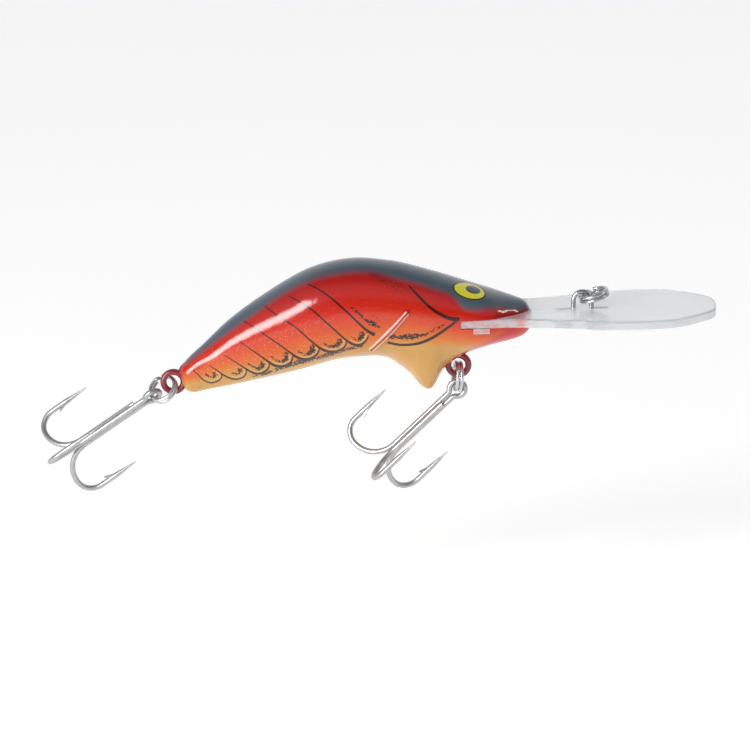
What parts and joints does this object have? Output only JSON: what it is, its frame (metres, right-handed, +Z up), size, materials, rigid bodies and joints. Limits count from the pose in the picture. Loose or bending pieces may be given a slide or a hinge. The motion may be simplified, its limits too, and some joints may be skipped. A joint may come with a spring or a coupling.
{
  "type": "crankbait lure",
  "caption": "Deep-diving fishing lure: hollow painted body with a crayfish pattern, long clear lip, wire line eye, and treble hooks on split rings under the chin and at the tail.",
  "frame": {"origin": "centre of the upright wire eye on the lip that the line is tied to", "axes": "+X along the lure towards the tip of the diving lip, +Y to the lure's left side, +Z up; the flat of the lip is level"},
  "size_m": [0.1522, 0.0268, 0.0552],
  "materials": {
    "body_paint": "airbrushed crayfish pattern, grey back to red to tan, under clear gloss coat",
    "clear_lip": "polished clear polycarbonate",
    "tie_wire": "bright stainless wire",
    "painted_wire": "stainless wire covered by dark red overspray and clear coat",
    "ring_steel": "polished stainless",
    "hook_tin": "bright tinned",
    "braze_metal": "tinned over braze",
    "ballast_lead": "dull cast lead",
    "ball_steel": "polished"
  },
  "bodies": {
    "lure_body": {"body_half_right": "body_paint", "body_half_left": "body_paint", "diving_lip": "clear_lip", "line_tie_eye": "tie_wire", "belly_hook_hanger": "painted_wire", "tail_hook_hanger": "painted_wire", "chin_ballast": "ballast_lead"},
    "line_tie_ring": {"line_tie_split_ring": "ring_steel"},
    "belly_ring": {"belly_split_ring": "ring_steel"},
    "belly_treble": {"belly_treble_double_hook": "hook_tin", "belly_treble_single_hook": "hook_tin", "belly_treble_braze": "braze_metal"},
    "tail_ring": {"tail_split_ring": "ring_steel"},
    "tail_treble": {"tail_treble_double_hook": "hook_tin", "tail_treble_single_hook": "hook_tin", "tail_treble_braze": "braze_metal"},
    "rear_ball": {"rattle_ball_rear": "ball_steel"},
    "middle_ball": {"rattle_ball_middle": "ball_steel"},
    "front_ball": {"rattle_ball_front": "ball_steel"}
  },
  "joints": [
    {"name": "line_tie_ring_swing", "type": "hinge", "parent": "lure_body", "child": "line_tie_ring", "pos_m": [0, 0, 0], "axis": [0, 1, 0], "range_deg": [-160, 22]},
    {"name": "belly_ring_swing", "type": "hinge", "parent": "lure_body", "child": "belly_ring", "pos_m": [-0.028, 0, -0.0141], "axis": [0, 1, 0], "range_deg": [-100, 12]},
    {"name": "belly_treble_swing", "type": "hinge", "parent": "belly_ring", "child": "belly_treble", "pos_m": [-0.02823, 0, -0.01669], "axis": [0.9865, 0.1392, -0.0863], "range_deg": [-35, 35]},
    {"name": "tail_ring_swing", "type": "hinge", "parent": "lure_body", "child": "tail_ring", "pos_m": [-0.0918, 0, -0.016], "axis": [0, 1, 0], "range_deg": [-65, 90]},
    {"name": "tail_treble_swing", "type": "hinge", "parent": "tail_ring", "child": "tail_treble", "pos_m": [-0.09417, 0, -0.01758], "axis": [0.4533, 0.5736, -0.6823], "range_deg": [-45, 45]},
    {"name": "rear_ball_roll", "type": "slide", "parent": "lure_body", "child": "rear_ball", "axis": [0.9884, 0, 0.152], "range_m": [0, 0.0083]},
    {"name": "middle_ball_roll", "type": "slide", "parent": "lure_body", "child": "middle_ball", "axis": [0.9643, 0, 0.2649], "range_m": [0, 0.0071]},
    {"name": "front_ball_roll", "type": "slide", "parent": "lure_body", "child": "front_ball", "axis": [1, 0, 0], "range_m": [0, 0.0047]}
  ]
}
